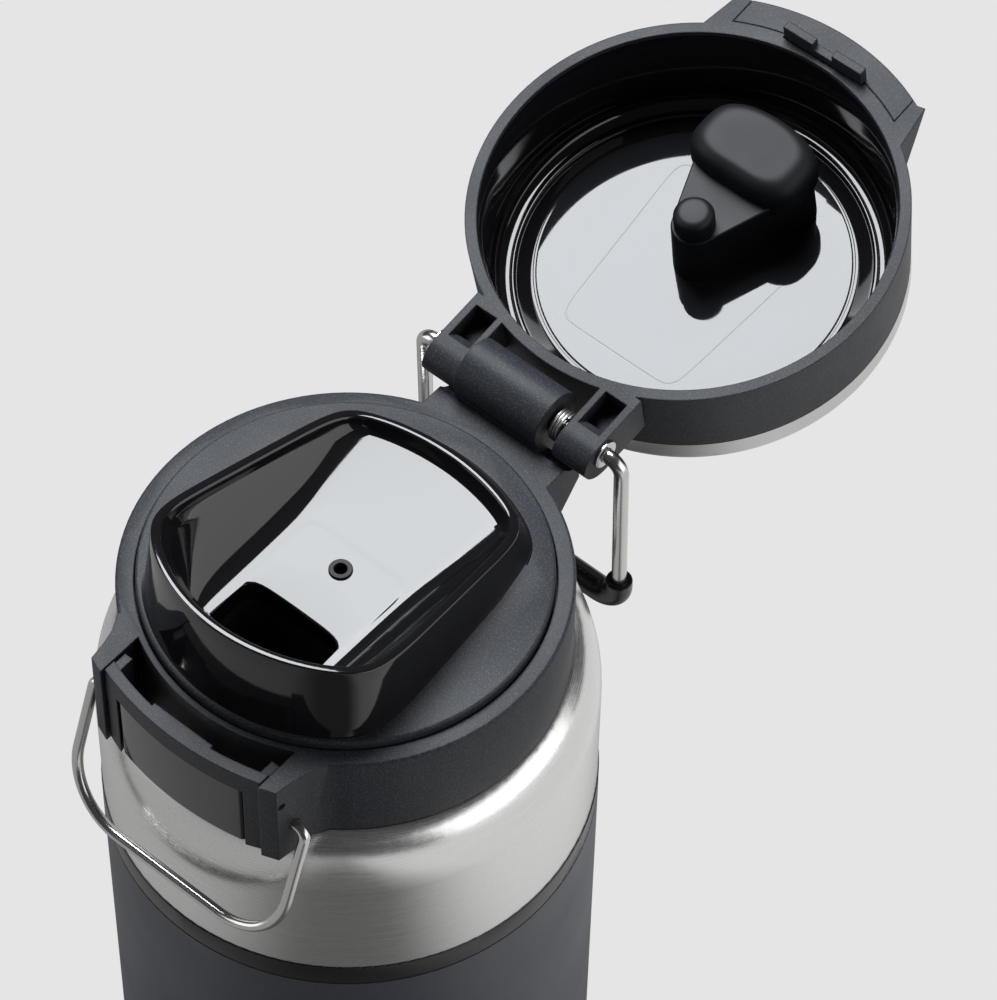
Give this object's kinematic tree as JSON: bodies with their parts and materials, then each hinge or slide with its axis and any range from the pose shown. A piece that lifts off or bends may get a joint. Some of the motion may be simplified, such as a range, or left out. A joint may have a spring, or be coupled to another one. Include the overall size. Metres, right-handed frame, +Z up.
{
  "type": "growler",
  "caption": "Insulated steel growler with a screw cap, pouring spout, sprung flip lid with push latch, and wire carrying loops, shown with its lid open.",
  "frame": {"origin": "centre of the bottle's foot on the ground", "axes": "+Z up along the bottle; the latch and the pouring lip face -Y, the lid hinge is at +Y, +X is to the right seen from the front"},
  "size_m": [0.123, 0.254, 0.2863],
  "materials": {
    "brushed_steel_shoulder": "brushed round the bottle",
    "plain_steel": "satin",
    "powder_coat": "fine matte powder coat",
    "band_rubber": "smooth, slightly glossy",
    "textured_charcoal": "fine spark-eroded texture",
    "gloss_black": "polished",
    "plate_gloss": "mirror polished",
    "soft_black": "soft matte",
    "hidden_plastic": "moulded",
    "clear_silicone": "translucent white",
    "bright_wire": "polished",
    "cap_steel": "brushed"
  },
  "bodies": {
    "bottle": {"outer_shell": "brushed_steel_shoulder", "base_disc": "plain_steel", "inner_vessel": "plain_steel", "body_coat": "powder_coat", "shoulder_band": "band_rubber"},
    "cap": {"collar": "textured_charcoal", "deck": "textured_charcoal", "spout": "gloss_black", "vent_grommet": "soft_black", "stopper": "hidden_plastic", "neck_gasket": "clear_silicone", "button_pin": "bright_wire"},
    "button": {"button_frame": "textured_charcoal", "button_panel": "gloss_black", "button_spring": "plain_steel"},
    "front_loop": {"front_loop": "bright_wire"},
    "carry_loop": {"rear_wire": "bright_wire", "rear_grip": "band_rubber"},
    "lid": {"lid_shell": "textured_charcoal", "latch_insert": "textured_charcoal", "top_cap": "cap_steel", "lid_liner": "gloss_black", "lid_plate": "plate_gloss", "plug_body": "soft_black", "pour_pad": "soft_black", "vent_nub": "soft_black", "hinge_tube": "bright_wire", "torsion_spring": "plain_steel"}
  },
  "joints": [
    {"name": "cap_lift", "type": "slide", "parent": "bottle", "child": "cap", "axis": [0, 0, 1], "range_m": [0, 0.045]},
    {"name": "lid_hinge", "type": "hinge", "parent": "cap", "child": "lid", "pos_m": [0, 0.0637, 0.25775], "axis": [1, 0, 0], "range_deg": [0, 170.4], "stiffness_Nm_per_rad": 0.018, "springref_deg": -20.05, "deforming": ["torsion_spring"]},
    {"name": "button_press", "type": "hinge", "parent": "cap", "child": "button", "pos_m": [0, -0.055, 0.2459], "axis": [1, 0, 0], "range_deg": [0, 3.5], "stiffness_Nm_per_rad": 1, "springref_deg": -2.86, "deforming": ["button_spring"]},
    {"name": "front_loop_swing", "type": "hinge", "parent": "cap", "child": "front_loop", "pos_m": [0, -0.0516, 0.2356], "axis": [-1, 0, 0], "range_deg": [0, 121]},
    {"name": "carry_loop_swing", "type": "hinge", "parent": "cap", "child": "carry_loop", "pos_m": [0, 0.0637, 0.25775], "axis": [1, 0, 0], "range_deg": [0, 36]}
  ]
}
